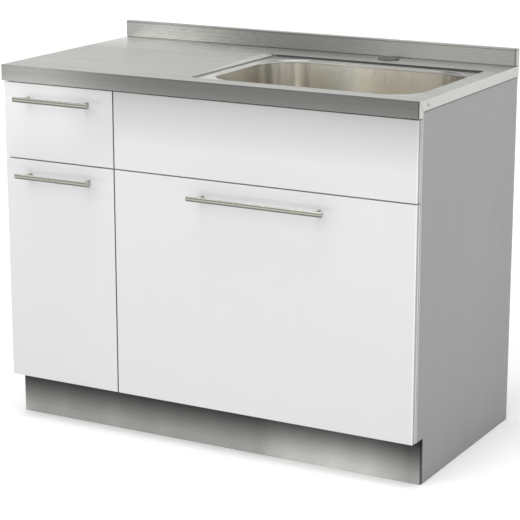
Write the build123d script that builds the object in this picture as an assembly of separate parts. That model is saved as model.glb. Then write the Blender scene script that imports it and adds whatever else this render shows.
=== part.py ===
"""Kitchen sink unit: stainless worktop with a pressed bowl over a carcass with three pull-outs.

Millimetres. +X runs to the right seen from the front, +Y to the wall, +Z up.
The origin lies on the floor, at the middle of the unit's width and of its depth over the handles.
"""
import os
from collections import namedtuple

from build123d import *

os.makedirs("parts", exist_ok=True)

# ---------------------------------------------------------------- overall sizes
unit_width = 1050.0  # worktop, end to end
unit_depth = 550.0  # apron face to rear rim
worktop_height = 850.0  # floor to worktop
upstand_height = 40.0
upstand_depth = 17.0

# ---------------------------------------------------------------- stock and gaps
sheet = 1.0  # stainless sheet
panel = 15.0  # carcass boards and fronts
worktop_core = 18.0  # board under the sheet
back_board = 4.0
fit_gap = 0.2  # pieces pushed together
run_gap = 0.4  # pieces that slide past one another

# ---------------------------------------------------------------- worktop
apron_height = 37.0
apron_lip = 10.0  # up-turned lip inside the apron
skirt_height = 24.0
fold_radius = 1.5  # outside radius of the folds
seam = 1.0  # open mitre between end cap and skirt
groove_height = 2.0  # shadow groove under the upstand
groove_depth = 2.0
side_screw_setback = 46.0  # from the apron face
side_screw_drop = 13.4  # below the worktop
side_screw_head = 3.3  # head radius
side_screw_shank = 1.75
side_screw_length = 30.0

# ---------------------------------------------------------------- sink
bowl_length = 508.0
bowl_width = 352.0
bowl_corner = 92.0
bowl_right_margin = 49.0  # bowl to the right end
bowl_front_margin = 68.0  # bowl to the apron face
bowl_depth = 180.0  # deck to floor
bowl_draft = 9.0  # walls lean in by this much at the floor
bowl_floor_radius = 28.0
rim_radius = 7.0  # rolled edge between deck and wall
deck_drop = 3.5  # sink deck below the worktop
deck_left = 10.0  # deck outside the rolled edge
deck_right = 4.0
deck_front = 14.0
deck_rear = 13.0
deck_corner = 9.0
deck_flange = 10.0  # deck that laps under the worktop
core_clearance = 4.0  # board's cut-out round the sink's flange
slope_width = 34.0  # drainage slope left of the sink, widest at the rear
slope_drop = 1.5

tap_hole_radius = 17.5
tap_hole_setback = 53.0  # from the unit's rear
tap_cover_radius = 25.0
tap_cover_thickness = 2.8
tap_stud_radius = 4.0
tap_stud_length = 34.0
tap_clamp_length = 56.0
tap_clamp_width = 18.0

# ---------------------------------------------------------------- waste
waste_rear_margin = 112.0  # waste centre to the bowl's rear wall
waste_bore = 59.0  # inside radius of the flange's sleeve
waste_lip = 75.0
waste_lip_thickness = 1.5
waste_wall = 3.0
waste_sleeve_length = 40.0
waste_ledge = 5.0  # ring inside the sleeve that carries the insert
locknut_radius = 76.0
locknut_height = 12.0
locknut_lugs = 8
trap_wall = 3.7
trap_depth = 108.0  # below the locknut
outlet_rise = 66.0  # outlet axis above the trap's base
outlet_radius = 20.0  # outside of the spigot
outlet_wall = 2.5
outlet_boss_length = 18.0
outlet_collar = 3.0
outlet_shoulder = 1.0  # step under the union nut
outlet_spigot_length = 52.0
outlet_nut_length = 19.0
outlet_nut_wall = 5.0
insert_radius = 47.5
insert_wall = 2.0
insert_rim = 2.0
insert_length = 76.0
basket_radius = 42.0
basket_wall = 1.5
basket_depth = 42.0
basket_slots = 16
basket_slot_width = 4.0
basket_bail = 26.0
lid_radius = 68.0
lid_thickness = 1.5
lid_knob_radius = 8.0
lid_knob_height = 12.0
lid_slots = 12
lid_slot_width = 5.0
lid_slot_length = 22.0

# ---------------------------------------------------------------- carcass
front_setback = 5.0  # fronts behind the apron face
front_inset = 2.5  # fronts short of the unit's ends
front_gap = 3.0  # between two fronts
front_top_gap = 3.0  # under the apron
front_edge_radius = 0.8
left_column = 300.0  # left end to the gap between the columns
top_front_height = 175.5
bumper_gap = 0.6  # fronts to carcass
plinth_height = 105.0
plinth_setback = 50.0
plinth_thickness = 7.5
plinth_inset = 2.3
front_rail_depth = 28.0
front_rail_thickness = 18.0
cross_rail_depth = 40.0
wall_rail_height = 80.0
wall_hole_spacing = 800.0
wall_hole_radius = 2.5
wall_hole_drop = 40.0  # below the board
back_inset = 16.0  # back board in front of the side panels' rear edges
back_groove = 5.0
service_width = 420.0
service_height = 300.0
service_low = 190.0  # above the floor
bracket_leg = 24.0
bracket_width = 26.0
bracket_thickness = 2.0
bracket_margin = 38.0  # bracket centres from the front's top and bottom edges

# ---------------------------------------------------------------- handles
bar_radius = 6.0
bar_standoff = 30.0  # bar axis in front of the fronts
bar_end_chamfer = 0.6
post_radius = 5.0
handle_screw_radius = 2.0
handle_screw_reach = 12.0  # thread inside the post
handle_screw_head = 4.0
handle_screw_head_thickness = 2.4
small_bar_length = 203.0
small_post_pitch = 160.0
small_bar_drop = 34.0  # bar axis below the front's top edge
wide_bar_length = 334.0
wide_post_pitch = 288.0
wide_bar_drop = 37.5

# ---------------------------------------------------------------- drawer boxes and runners
box_wall = 12.0
box_rear_clearance = 43.8  # to the wall rail
box_base = 6.0
base_rise = 10.0  # base above the sides' lower edge
base_groove = 6.0
top_box_height = 115.0
low_box_height = 130.0
box_rise = 17.0  # box above the rail or base under it
runner_space = 12.7  # carcass to drawer box
runner_wall = 1.4
runner_half_height = 22.5
runner_short = 4.0  # shorter than the box
runner_rise = 42.0  # runner's middle above the box's lower edge
runner_setback = 2.0  # behind the carcass front
member_step = 4.0  # each inner member ends this much short
gallery_post = 4.0  # radius
gallery_rod = 3.0  # radius
gallery_levels = {"bottle_drawer": (80.0, 160.0), "sink_drawer": (70.0,)}  # above the box

# ---------------------------------------------------------------- datum planes
half_width = unit_width / 2
bar_reach = bar_standoff + bar_radius - front_setback  # bar in front of the apron
apron_y = (bar_reach - unit_depth) / 2
rear_y = apron_y + unit_depth
sheet_under = worktop_height - sheet
core_under = sheet_under - worktop_core
apron_bottom = worktop_height - apron_height
side_outer = half_width - sheet - fit_gap
side_inner = side_outer - panel
panel_rear = rear_y - sheet - fit_gap
front_y = apron_y + front_setback
front_rear = front_y + panel
carcass_front = front_rear + bumper_gap
apron_depth = carcass_front - fit_gap - apron_y  # its folded foot ends just before the carcass
back_rear = panel_rear - back_inset
back_front = back_rear - back_board
base_top = plinth_height + panel
column_x = left_column - half_width
partition_left = column_x - panel / 2
partition_right = column_x + panel / 2
box_depth = back_front - panel - box_rear_clearance - front_rear
runner_length = box_depth - runner_short
fronts_top = apron_bottom - front_top_gap
top_front_low = fronts_top - top_front_height
low_front_top = top_front_low - front_gap
row_gap_z = (top_front_low + low_front_top) / 2
plinth_rear = apron_y + plinth_setback + plinth_thickness
front_rail_low = core_under - front_rail_thickness
side_screw_y = apron_y + side_screw_setback
side_screw_z = worktop_height - side_screw_drop

deck_top = worktop_height - deck_drop
deck_under = deck_top - sheet
bowl_right = half_width - bowl_right_margin
bowl_left = bowl_right - bowl_length
bowl_front = apron_y + bowl_front_margin
bowl_rear = bowl_front + bowl_width
bowl_floor = deck_top - bowl_depth
bowl_x = (bowl_left + bowl_right) / 2
bowl_y = (bowl_front + bowl_rear) / 2
sink_left = bowl_left - rim_radius - deck_left
sink_right = bowl_right + rim_radius + deck_right
sink_front_edge = bowl_front - rim_radius - deck_front
sink_rear_edge = bowl_rear + rim_radius + deck_rear

waste_x = bowl_x
waste_y = bowl_rear - waste_rear_margin
floor_under = bowl_floor - sheet
waste_outer = waste_bore + waste_wall
sleeve_low = bowl_floor - waste_sleeve_length
locknut_low = floor_under - locknut_height
trap_inner = waste_outer + run_gap
trap_outer = trap_inner + trap_wall
trap_low = locknut_low - trap_depth
outlet_z = trap_low + outlet_rise
outlet_bore = outlet_radius - outlet_wall
boss_outer = outlet_radius + outlet_wall
boss_end = waste_y + trap_outer + outlet_boss_length
nut_end = boss_end + outlet_collar + outlet_wall
ledge_top = sleeve_low + waste_ledge
insert_top = ledge_top + insert_rim

Drawer = namedtuple("Drawer", "name face bay box_low box_height bar_length post_pitch bar_drop")
left_face = (front_inset - half_width, column_x - front_gap / 2)
right_face = (column_x + front_gap / 2, half_width - front_inset)
left_bay = (-side_inner, partition_left)
right_bay = (partition_right, side_inner)
low_face = (plinth_height, low_front_top)
drawers = [
    Drawer("top_drawer", (left_face, (top_front_low, fronts_top)), left_bay,
           row_gap_z + panel / 2 + box_rise, top_box_height,
           small_bar_length, small_post_pitch, small_bar_drop),
    Drawer("bottle_drawer", (left_face, low_face), left_bay,
           base_top + box_rise, low_box_height,
           small_bar_length, small_post_pitch, small_bar_drop),
    Drawer("sink_drawer", (right_face, low_face), right_bay,
           base_top + box_rise, low_box_height,
           wide_bar_length, wide_post_pitch, wide_bar_drop),
]


# ---------------------------------------------------------------- basic shapes
def block(x, y, z):
    """A box from three pairs of values."""
    low = [min(pair) for pair in (x, y, z)]
    size = [max(pair) - min(pair) for pair in (x, y, z)]
    return Pos(*low) * Box(*size, align=(Align.MIN, Align.MIN, Align.MIN))


def disc(x, y, z, radius):
    """An upright cylinder between two heights."""
    return Pos(x, y, min(z)) * Cylinder(radius, max(z) - min(z), align=(Align.CENTER, Align.CENTER, Align.MIN))


def ring(x, y, z, outer, inner):
    return disc(x, y, z, outer) - disc(x, y, z, inner)


def rod_x(x, y, z, radius):
    plane = Plane(origin=(min(x), y, z), z_dir=(1, 0, 0))
    return extrude(plane * Circle(radius), max(x) - min(x))


def rod_y(x, y, z, radius):
    plane = Plane(origin=(x, min(y), z), z_dir=(0, 1, 0))
    return extrude(plane * Circle(radius), max(y) - min(y))


def rounded_plate(x, y, z, corner):
    """A flat plate with round corners seen from above."""
    outline = RectangleRounded(max(x) - min(x), max(y) - min(y), corner)
    return extrude(Pos((min(x) + max(x)) / 2, (min(y) + max(y)) / 2, min(z)) * outline, max(z) - min(z))


def mirror_pair(shape):
    """A piece and its mirror image at the unit's other end."""
    return [shape, mirror(shape, about=Plane.YZ)]


def yz_plate(points, x):
    """A plate across X from its corners in Y and Z."""
    outline = Plane.YZ.offset(min(x)) * make_face(Polyline(*points, close=True))
    return extrude(outline, max(x) - min(x))


# ---------------------------------------------------------------- worktop
def sink_outline(grow, z):
    """The sink's deck, grown outwards."""
    return rounded_plate((sink_left - grow, sink_right + grow),
                         (sink_front_edge - grow, sink_rear_edge + grow), z, deck_corner + grow)


def drainage_slope():
    """Flat triangle that falls towards the sink, as its upper face."""
    corners = [(sink_left, sink_front_edge + deck_corner, worktop_height),
               (sink_left - slope_width, sink_rear_edge, worktop_height),
               (sink_left, sink_rear_edge, worktop_height - slope_drop)]
    return make_face(Polyline(*corners, close=True))


def worktop():
    inner = half_width - sheet
    body = block((-half_width, half_width), (apron_y, rear_y), (sheet_under, worktop_height))
    body += block((-half_width, half_width), (apron_y, apron_y + sheet), (apron_bottom, sheet_under))
    body += block((-inner, inner), (apron_y, apron_y + apron_depth), (apron_bottom, apron_bottom + sheet))
    lip_rear = apron_y + apron_depth
    body += block((-inner, inner), (lip_rear - sheet, lip_rear), (apron_bottom, apron_bottom + apron_lip))
    skirt_low = worktop_height - skirt_height
    body += block((-inner, inner), (rear_y - sheet, rear_y), (skirt_low, sheet_under))
    skirt = yz_plate([(apron_y, sheet_under), (lip_rear, skirt_low), (rear_y, skirt_low), (rear_y, sheet_under)],
                     (inner, half_width))
    for side in mirror_pair(skirt):
        body += side
    body += sink_outline(sheet, (deck_top, sheet_under))
    body -= sink_outline(0, (deck_top - sheet, worktop_height + sheet))
    slope = drainage_slope()
    body -= extrude(slope, slope_drop + sheet, dir=(0, 0, 1))
    body += extrude(slope, sheet, dir=(0, 0, -1))
    body += block((sink_left - slope_width, sink_left), (sink_rear_edge, sink_rear_edge + sheet),
                  (sheet_under - slope_drop, sheet_under))
    folds = body.edges().filter_by_position(Axis.Z, worktop_height, worktop_height)
    folds = folds.filter_by(lambda edge: edge.center().Y < apron_y + 0.01
                            or abs(edge.center().X) > half_width - 0.01)
    body = fillet(folds, min(fold_radius, 1.5 * sheet))
    body -= disc(waste_x, rear_y - tap_hole_setback, (core_under, worktop_height), tap_hole_radius)
    for x in (-half_width, half_width):
        body -= rod_x((x - sheet, x + sheet), side_screw_y, side_screw_z, side_screw_head + fit_gap)
    return body


def worktop_side_screws():
    """Flat head flush with the skirt, shank in the board's edge."""
    head = rod_x((half_width - sheet, half_width), side_screw_y, side_screw_z, side_screw_head)
    shank = rod_x((half_width - side_screw_length, half_width), side_screw_y, side_screw_z, side_screw_shank)
    return mirror_pair(head + shank)


def apron_end_caps():
    """Closes the apron's end, mitred against the skirt along a diagonal seam."""
    front, rear = apron_y + sheet, apron_y + apron_depth
    skirt_low = worktop_height - skirt_height
    slant = (sheet_under - skirt_low) / apron_depth
    cap = yz_plate([(front, sheet_under - slant * sheet - seam), (front, apron_bottom), (rear, apron_bottom),
                    (rear, skirt_low - seam)], (half_width - sheet, half_width))
    return mirror_pair(cap)


def upstand():
    """Folded channel with closed ends, standing on a set-back foot that leaves a shadow groove."""
    face = rear_y - upstand_depth
    top = worktop_height + upstand_height
    inner = half_width - sheet
    leg_low = worktop_height + groove_height
    body = block((-half_width, half_width), (face, face + sheet), (leg_low, top))
    body += block((-half_width, half_width), (face, rear_y), (top - sheet, top))
    body += block((-half_width, half_width), (rear_y - sheet, rear_y), (worktop_height, top))
    body += block((-half_width, half_width), (face, face + groove_depth + sheet), (leg_low, leg_low + sheet))
    body += block((-half_width, half_width), (face + groove_depth, face + groove_depth + sheet),
                  (worktop_height, leg_low + sheet))
    for side in mirror_pair(block((inner, half_width), (face + groove_depth, rear_y), (worktop_height, top))):
        body += side
    for side in mirror_pair(block((inner, half_width), (face, rear_y), (leg_low, top))):
        body += side
    fold = body.edges().filter_by(Axis.X).filter_by_position(Axis.Z, top, top).sort_by(Axis.Y)[0]
    return fillet(fold, min(fold_radius, 1.5 * sheet))


def worktop_board():
    """Board under the sheet, cut out round the sink's flange."""
    body = block((-side_outer, side_outer), (apron_y + sheet, panel_rear), (core_under, sheet_under))
    body -= sink_outline(deck_flange + core_clearance, (core_under - sheet, sheet_under + sheet))
    body -= block((sink_left - slope_width - core_clearance, sink_left),
                  (sink_front_edge, sink_rear_edge + deck_flange + core_clearance),
                  (sheet_under - slope_drop - sheet, sheet_under))
    body -= disc(waste_x, rear_y - tap_hole_setback, (core_under, sheet_under), tap_hole_radius)
    for x in (-side_outer, side_outer):
        body -= rod_x((x - side_screw_length, x + side_screw_length), side_screw_y, side_screw_z,
                      side_screw_shank + fit_gap / 2)
    return body


def worktop_front_batten():
    lip_front = apron_y + apron_depth - sheet
    return block((-side_outer, side_outer), (apron_y + sheet, lip_front), (apron_bottom + sheet, core_under))


def tap_hole_cover():
    """Low disc that blanks the tap hole, with a threaded stud below it."""
    y = rear_y - tap_hole_setback
    top = worktop_height + tap_cover_thickness
    cover = disc(waste_x, y, (worktop_height, top), tap_cover_radius)
    rim = cover.edges().filter_by_position(Axis.Z, top, top)
    cover = fillet(rim, tap_cover_thickness * 0.4)
    cover += disc(waste_x, y, (worktop_height - sheet, worktop_height), tap_hole_radius - run_gap)
    return cover + disc(waste_x, y, (worktop_height - tap_stud_length, worktop_height), tap_stud_radius)


def tap_hole_clamp():
    """Bar on the stud, drawn up against the board."""
    y = rear_y - tap_hole_setback
    z = (core_under - 2 * sheet, core_under)
    bar = block((waste_x - tap_clamp_length / 2, waste_x + tap_clamp_length / 2),
                (y - tap_clamp_width / 2, y + tap_clamp_width / 2), z)
    return bar - disc(waste_x, y, z, tap_stud_radius + fit_gap / 2)


# ---------------------------------------------------------------- sink
def tub(grow, top, low):
    """The bowl as a filled solid: round corners, walls that lean in, a round turn into the floor."""
    upper = Pos(bowl_x, bowl_y, top) * RectangleRounded(
        bowl_length + 2 * grow, bowl_width + 2 * grow, bowl_corner + grow)
    inset = grow - bowl_draft
    lower = Pos(bowl_x, bowl_y, low) * RectangleRounded(
        bowl_length + 2 * inset, bowl_width + 2 * inset, bowl_corner + inset)
    body = loft([upper, lower], ruled=True)
    turn = body.edges().filter_by_position(Axis.Z, low, low)
    return fillet(turn, bowl_floor_radius + grow)


def rolled(body, level, radius):
    """Rounds the inner corner where the bowl's wall meets a flat face at this level."""
    corner = body.edges().filter_by_position(Axis.Z, level, level)
    corner = corner.filter_by(lambda edge: abs(edge.center().X - bowl_x) < bowl_length / 2 + 2 * sheet
                              and abs(edge.center().Y - bowl_y) < bowl_width / 2 + 2 * sheet)
    return fillet(corner, radius)


def sink_bowl():
    """Pressed deck that laps under the worktop, rolled edge, drawn bowl with its waste hole."""
    outside = sink_outline(deck_flange, (deck_under, deck_top)) + tub(sheet, deck_under, floor_under)
    outside = rolled(outside, deck_under, rim_radius - sheet)
    above = sink_outline(2 * deck_flange, (deck_top, deck_top + 2 * rim_radius))
    inside = rolled(above + tub(0, deck_top, bowl_floor), deck_top, rim_radius)
    hole = disc(waste_x, waste_y, (floor_under - sheet, bowl_floor + sheet), waste_outer + fit_gap)
    return outside - inside - hole


# ---------------------------------------------------------------- waste
def waste_flange():
    """Lip on the bowl's floor, threaded sleeve below it, ledge inside the sleeve."""
    lip_top = bowl_floor + waste_lip_thickness
    body = ring(waste_x, waste_y, (bowl_floor, lip_top), waste_lip, waste_bore)
    body += ring(waste_x, waste_y, (sleeve_low, lip_top), waste_outer, waste_bore)
    body += ring(waste_x, waste_y, (sleeve_low, ledge_top), waste_outer, waste_bore - waste_ledge)
    edge = body.edges().filter_by_position(Axis.Z, lip_top, lip_top).sort_by(SortBy.RADIUS)[-1]
    return fillet(edge, waste_lip_thickness * 0.5)


def waste_locknut():
    """Lugged nut that draws the flange down on the bowl's floor."""
    body = disc(waste_x, waste_y, (locknut_low, floor_under), locknut_radius - waste_wall)
    for lug in PolarLocations(locknut_radius - waste_wall, locknut_lugs):
        body += Pos(waste_x, waste_y, locknut_low) * lug * Cylinder(
            2 * waste_wall, locknut_height, align=(Align.CENTER, Align.CENTER, Align.MIN))
    return body - disc(waste_x, waste_y, (locknut_low, floor_under), waste_outer + fit_gap / 2)


def trap_body():
    """Cup on the waste sleeve, with a boss for the outlet on its rear."""
    body = disc(waste_x, waste_y, (trap_low, locknut_low), trap_outer)
    foot = body.edges().filter_by_position(Axis.Z, trap_low, trap_low)
    body = fillet(foot, 3 * trap_wall)
    body += rod_y(waste_x, (waste_y, boss_end), outlet_z, boss_outer)
    body -= disc(waste_x, waste_y, (trap_low + trap_wall, locknut_low), trap_inner)
    return body - rod_y(waste_x, (waste_y, boss_end), outlet_z, outlet_bore)


def outlet_spigot():
    """Tube for the drain hose, with a collar that seats on the boss."""
    body = rod_y(waste_x, (boss_end, boss_end + outlet_collar), outlet_z, boss_outer)
    body += rod_y(waste_x, (boss_end, nut_end), outlet_z, outlet_radius + outlet_shoulder)
    body += rod_y(waste_x, (boss_end, boss_end + outlet_spigot_length), outlet_z, outlet_radius)
    return body - rod_y(waste_x, (boss_end, boss_end + outlet_spigot_length), outlet_z, outlet_bore)


def outlet_nut():
    """Union nut over the boss and the spigot's collar."""
    start = nut_end - outlet_nut_length
    body = rod_y(waste_x, (start, nut_end), outlet_z, boss_outer + outlet_nut_wall)
    body -= rod_y(waste_x, (start, boss_end + outlet_collar), outlet_z, boss_outer + fit_gap / 2)
    return body - rod_y(waste_x, (boss_end, nut_end), outlet_z, outlet_radius + outlet_shoulder + fit_gap / 2)


def trap_insert():
    """Tube that dips into the trap's water, hung by its rim on the flange's ledge."""
    body = ring(waste_x, waste_y, (ledge_top, insert_top), waste_bore - run_gap, insert_radius - insert_wall)
    return body + ring(waste_x, waste_y, (insert_top - insert_length, insert_top),
                       insert_radius, insert_radius - insert_wall)


def strainer_basket():
    """Slotted cup that hangs in the insert, with a wire bail."""
    rim_top = insert_top + basket_wall
    low = rim_top - basket_depth
    body = disc(waste_x, waste_y, (insert_top, rim_top), waste_bore - run_gap)
    body += disc(waste_x, waste_y, (low, rim_top), basket_radius)
    body -= disc(waste_x, waste_y, (low + basket_wall, rim_top), basket_radius - basket_wall)
    slot_low = low + 4 * basket_wall
    slot_top = insert_top - 4 * basket_wall
    for spot in PolarLocations(basket_radius, basket_slots):
        body -= Pos(waste_x, waste_y, (slot_low + slot_top) / 2) * spot * Box(
            4 * basket_wall, basket_slot_width, slot_top - slot_low)
    for spot in PolarLocations(basket_radius / 2, basket_slots // 2):
        body -= Pos(waste_x, waste_y, low) * spot * Cylinder(basket_slot_width / 2, 4 * basket_wall)
    foot = basket_radius + 2 * basket_wall
    arch = ThreePointArc((waste_x - foot, waste_y, rim_top), (waste_x, waste_y, rim_top + basket_bail),
                         (waste_x + foot, waste_y, rim_top))
    return body + sweep(Plane(origin=arch @ 0, z_dir=arch % 0) * Circle(basket_wall), arch)


def waste_lid():
    """Cover on the flange's lip, with slots round a lift knob."""
    low = bowl_floor + waste_lip_thickness
    body = disc(waste_x, waste_y, (low, low + lid_thickness), lid_radius)
    reach = (lid_knob_radius + lid_radius) / 2
    for spot in PolarLocations(reach, lid_slots):
        body -= Pos(waste_x, waste_y, low) * spot * Box(lid_slot_length, lid_slot_width, 4 * lid_thickness)
    knob = disc(waste_x, waste_y, (low, low + lid_knob_height), lid_knob_radius)
    top = knob.edges().filter_by_position(Axis.Z, low + lid_knob_height, low + lid_knob_height)
    return body + fillet(top, lid_knob_radius * 0.3)


# ---------------------------------------------------------------- carcass
def side_panel(side):
    """End panel down to the floor, notched for the plinth and grooved for the back."""
    inner = side * side_inner
    body = block((side * side_outer, inner), (carcass_front, panel_rear), (0, core_under))
    body -= block((side * side_outer, inner), (carcass_front, plinth_rear), (0, plinth_height))
    return body - block((inner, inner + side * back_groove), (back_front - fit_gap / 2, back_rear + fit_gap / 2),
                        (plinth_height - fit_gap, core_under))


def partition_panel():
    """Board between the columns, notched round the front rail and the wall rail."""
    body = block((partition_left, partition_right), (carcass_front, back_front), (base_top, core_under))
    body -= block((partition_left, partition_right), (carcass_front, carcass_front + front_rail_depth),
                  (front_rail_low, core_under))
    return body - block((partition_left, partition_right), (back_front - panel, back_front),
                        (core_under - wall_rail_height, core_under))


def base_panel():
    return block((-side_inner, side_inner), (carcass_front, back_front), (plinth_height, base_top))


def wall_holes(y):
    """Two holes for wall screws, as cutters."""
    z = core_under - wall_hole_drop
    return [rod_y(x, y, z, wall_hole_radius) for x in (-wall_hole_spacing / 2, wall_hole_spacing / 2)]


def back_panel():
    """Thin back in the side panels' grooves, open behind the sink for the pipes."""
    edge = side_inner + back_groove - fit_gap
    body = block((-edge, edge), (back_front, back_rear), (plinth_height, core_under))
    body -= block((waste_x - service_width / 2, waste_x + service_width / 2), (back_front, back_rear),
                  (service_low, service_low + service_height))
    for hole in wall_holes((back_front, back_rear)):
        body -= hole
    return body


def wall_rail():
    """Upright rail under the worktop's rear, screwed to the wall."""
    body = block((-side_inner, side_inner), (back_front - panel, back_front),
                 (core_under - wall_rail_height, core_under))
    for hole in wall_holes((back_front - panel, back_front)):
        body -= hole
    return body


def front_rail():
    return block((-side_inner, side_inner), (carcass_front, carcass_front + front_rail_depth),
                 (front_rail_low, core_under))


def cross_rail(bay):
    """Rail across one column, behind the gap between the upper and lower fronts."""
    return block(bay, (carcass_front, carcass_front + cross_rail_depth), (row_gap_z - panel / 2, row_gap_z + panel / 2))


def plinth_board():
    edge = half_width - plinth_inset
    return block((-edge, edge), (plinth_rear - plinth_thickness, plinth_rear), (0, plinth_height))


def plinth_rear_rail():
    return block((-side_inner, side_inner), (back_front - panel, back_front), (0, plinth_height))


def front_slab(face):
    """Gloss front with softened edges."""
    (left, right), (low, high) = face
    slab = block((left, right), (front_y, front_rear), (low, high))
    return fillet(slab.edges(), front_edge_radius)


def sink_front():
    return front_slab((right_face, (top_front_low, fronts_top)))


def sink_front_brackets():
    """Four angles that hold the fixed front to the partition and the right side panel."""
    pieces = []
    for wall, inward in ((partition_right, 1), (side_inner, -1)):
        for z in (top_front_low + bracket_margin, fronts_top - bracket_margin):
            span = (z - bracket_width / 2, z + bracket_width / 2)
            leg = block((wall, wall + inward * bracket_leg), (front_rear, front_rear + bracket_thickness), span)
            arm = block((wall, wall + inward * bracket_thickness), (front_rear, carcass_front + bracket_leg), span)
            pieces.append(leg + arm)
    return pieces


# ---------------------------------------------------------------- handles
def post_positions(drawer):
    (left, right), (low, high) = drawer.face
    middle = (left + right) / 2
    return [middle - drawer.post_pitch / 2, middle + drawer.post_pitch / 2], high - drawer.bar_drop


def handle_bar(drawer):
    xs, z = post_positions(drawer)
    middle = sum(xs) / 2
    half = drawer.bar_length / 2
    bar = rod_x((middle - half, middle + half), front_y - bar_standoff, z, bar_radius)
    return chamfer(bar.edges().filter_by(GeomType.CIRCLE), bar_end_chamfer)


def handle_posts(drawer):
    """Posts from the front to the bar, saddled to it and drilled for their screws."""
    xs, z = post_positions(drawer)
    pieces = []
    for x in xs:
        post = rod_y(x, (front_y - bar_standoff, front_y), z, post_radius)
        post -= rod_x((x - 2 * post_radius, x + 2 * post_radius), front_y - bar_standoff, z, bar_radius)
        pieces.append(post - rod_y(x, (front_y - handle_screw_reach - sheet, front_y), z, handle_screw_radius))
    return pieces


def handle_screws(drawer):
    xs, z = post_positions(drawer)
    return [rod_y(x, (front_rear, front_rear + handle_screw_head_thickness), z, handle_screw_head)
            + rod_y(x, (front_y - handle_screw_reach, front_rear), z, handle_screw_radius)
            for x in xs]


def drawer_front(drawer):
    xs, z = post_positions(drawer)
    slab = front_slab(drawer.face)
    for x in xs:
        slab -= rod_y(x, (front_y, front_rear), z, handle_screw_radius + fit_gap / 2)
    return slab


# ---------------------------------------------------------------- drawer boxes
def box_edges(drawer):
    """Outer X pair, Y pair and Z pair of a drawer's box."""
    left, right = drawer.bay
    return ((left + runner_space, right - runner_space), (front_rear, front_rear + box_depth),
            (drawer.box_low, drawer.box_low + drawer.box_height))


def box_sides(drawer):
    (left, right), y, (low, high) = box_edges(drawer)
    base_low = low + base_rise
    pieces = []
    for outer, inward in ((left, 1), (right, -1)):
        inner = outer + inward * box_wall
        side = block((outer, inner), y, (low, high))
        pieces.append(side - block((inner - inward * base_groove, inner), y, (base_low, base_low + box_base)))
    return pieces


def box_base_panel(drawer):
    (left, right), y, (low, high) = box_edges(drawer)
    reach = box_wall - base_groove + fit_gap
    return block((left + reach, right - reach), y, (low + base_rise, low + base_rise + box_base))


def box_back(drawer):
    (left, right), (front, rear), (low, high) = box_edges(drawer)
    return block((left + box_wall, right - box_wall), (rear - box_wall, rear), (low + base_rise + box_base, high))


def gallery(drawer):
    """Rods round three sides of a tall drawer, on posts that stand on the box's sides."""
    (left, right), (front, rear), (low, high) = box_edges(drawer)
    xs = (left + box_wall / 2, right - box_wall / 2)
    rear_post = rear - box_wall / 2
    levels = [high + rise for rise in gallery_levels[drawer.name]]
    frame = None
    for x in xs:
        for y in (front + box_wall, (front + rear) / 2, rear_post):
            post = disc(x, y, (high, levels[-1]), gallery_post)
            frame = post if frame is None else frame + post
    for z in levels:
        for x in xs:
            frame += rod_y(x, (front, rear_post), z, gallery_rod)
            frame += Pos(x, rear_post, z) * Sphere(gallery_post)
        frame += rod_x(xs, rear_post, z, gallery_rod)
    return frame


# ---------------------------------------------------------------- runners
def channel(wall, inward, offset, depth, half_height, y, z, opens):
    """A C-shaped runner member. Its web stands where opens says, its two lips run across the gap."""
    near = wall + inward * offset
    far = near + inward * depth
    web = (near, near + inward * runner_wall) if opens == "inward" else (far - inward * runner_wall, far)
    body = block(web, y, (z - half_height, z + half_height))
    for lip in ((z - half_height, z - half_height + runner_wall), (z + half_height - runner_wall, z + half_height)):
        body += block((near, far), y, lip)
    return body


def runner_members(drawer, member):
    """The pair of cabinet, middle or drawer members of one drawer's runners."""
    left, right = drawer.bay
    z = drawer.box_low + runner_rise
    start = carcass_front + runner_setback
    nest = runner_wall + run_gap
    pieces = []
    for wall, inward in ((left, 1), (right, -1)):
        if member == "cabinet":
            pieces.append(channel(wall, inward, 0, runner_space - nest, runner_half_height,
                                  (start, start + runner_length), z, "inward"))
        elif member == "middle":
            pieces.append(channel(wall, inward, nest, runner_space - 2 * nest, runner_half_height - nest,
                                  (start, start + runner_length - member_step), z, "inward"))
        else:
            pieces.append(channel(wall, inward, 2 * nest, runner_space - 2 * nest, runner_half_height - 2 * nest,
                                  (start, start + runner_length - 2 * member_step), z, "outward"))
    return pieces


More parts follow.
